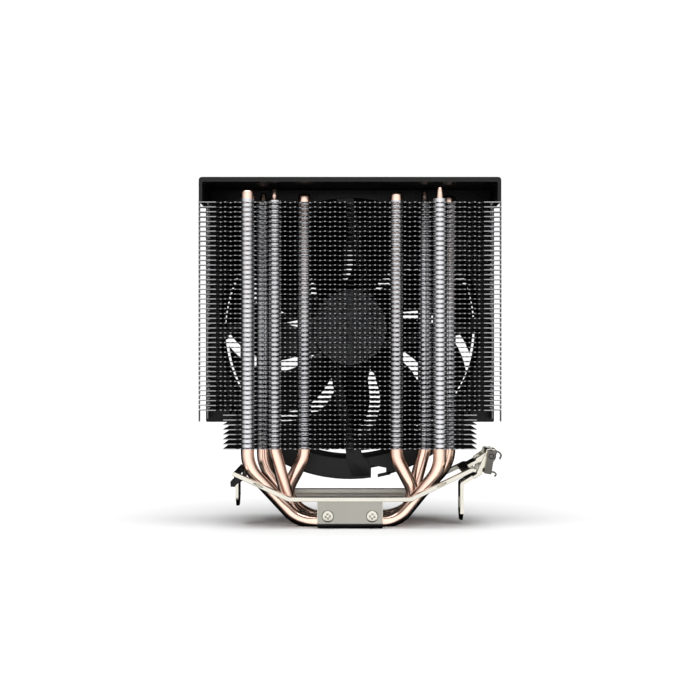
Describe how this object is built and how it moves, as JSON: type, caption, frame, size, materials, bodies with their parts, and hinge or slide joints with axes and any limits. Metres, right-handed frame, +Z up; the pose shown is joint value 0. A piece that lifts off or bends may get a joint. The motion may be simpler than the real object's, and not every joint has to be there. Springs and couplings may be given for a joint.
{
  "type": "cpu tower cooler",
  "caption": "Tower air cooler: aluminium fins on U-shaped copper heat pipes, grooved direct-contact base, spring clip with cam lever and hooks, black top cover and a round axial fan.",
  "frame": {"origin": "centre of the flat processor contact face of the base", "axes": "+Z up away from the processor, X across the fins along the heat pipes' legs, +Y towards the fan"},
  "size_m": [0.1364, 0.0758, 0.1566],
  "materials": {
    "fin": "satin stamped sheet",
    "pipe": "polished copper",
    "base": "milled",
    "spring_steel": "nickel plated, satin",
    "screw": "nickel plated",
    "lever": "dark plated, ribbed",
    "black_plastic": "moulded, fine matt texture",
    "fan_plastic": "moulded, semi matt",
    "label": "blank foil label",
    "magnet": "bonded ferrite",
    "bronze": "sintered",
    "lamination": "stacked sheet",
    "winding": "enamelled copper wire",
    "board": "solder mask"
  },
  "bodies": {
    "heatsink": {"fin_pair_01": "fin", "fin_pair_02": "fin", "fin_pair_03": "fin", "fin_pair_04": "fin", "fin_pair_05": "fin", "fin_pair_06": "fin", "fin_pair_07": "fin", "fin_pair_08": "fin", "fin_pair_09": "fin", "fin_pair_10": "fin", "fin_pair_11": "fin", "fin_pair_12": "fin", "fin_pair_13": "fin", "fin_pair_14": "fin", "fin_pair_15": "fin", "fin_pair_16": "fin", "fin_pair_17": "fin", "fin_pair_18": "fin", "fin_pair_19": "fin", "fin_pair_20": "fin", "fin_pair_21": "fin", "fin_pair_22": "fin", "fin_pair_23": "fin", "fin_pair_24": "fin", "fin_pair_25": "fin", "fin_pair_26": "fin", "heat_pipe_a": "pipe", "heat_pipe_b": "pipe", "heat_pipe_c": "pipe", "heat_pipe_d": "pipe", "base_block": "base", "clip_frame": "spring_steel", "clip_screw_front_left": "screw", "clip_screw_front_right": "screw", "clip_screw_rear_left": "screw", "clip_screw_rear_right": "screw", "lever_pivot_pin": "screw", "fan_screw_1": "screw", "fan_screw_2": "screw", "fan_screw_3": "screw", "fan_screw_4": "screw", "top_cover": "black_plastic", "fan_bracket": "black_plastic", "fan_frame": "fan_plastic", "bearing_sleeve": "bronze", "stator_core": "lamination", "stator_coil_1": "winding", "stator_coil_2": "winding", "stator_coil_3": "winding", "stator_coil_4": "winding", "circuit_board": "board", "motor_label": "label"},
    "rotor": {"fan_rotor": "fan_plastic", "rotor_magnet": "magnet", "rotor_shaft": "screw", "shaft_retaining_clip": "screw"},
    "lever": {"cam_lever": "lever"},
    "right_hook": {"lever_hook": "spring_steel"},
    "left_hook": {"left_hook": "spring_steel"}
  },
  "joints": [
    {"name": "fan_spin", "type": "hinge", "parent": "heatsink", "child": "rotor", "pos_m": [0, 0.035, 0.0893], "axis": [0, 1, 0], "continuous": true},
    {"name": "lever_swing", "type": "hinge", "parent": "heatsink", "child": "lever", "pos_m": [0.0634, 0, 0.0313], "axis": [0, -1, 0], "range_deg": [0, 100]},
    {"name": "hook_lift", "type": "slide", "parent": "heatsink", "child": "right_hook", "axis": [0, 0, -1], "range_m": [0, 0.0015]},
    {"name": "left_hook_rock", "type": "hinge", "parent": "heatsink", "child": "left_hook", "pos_m": [-0.05, 0, 0.0245], "axis": [0, 1, 0], "range_deg": [-6, 6]}
  ],
  "couplings": [
    {"joint": "hook_lift", "follows": "lever_swing", "m_per_rad": 0.000859}
  ]
}
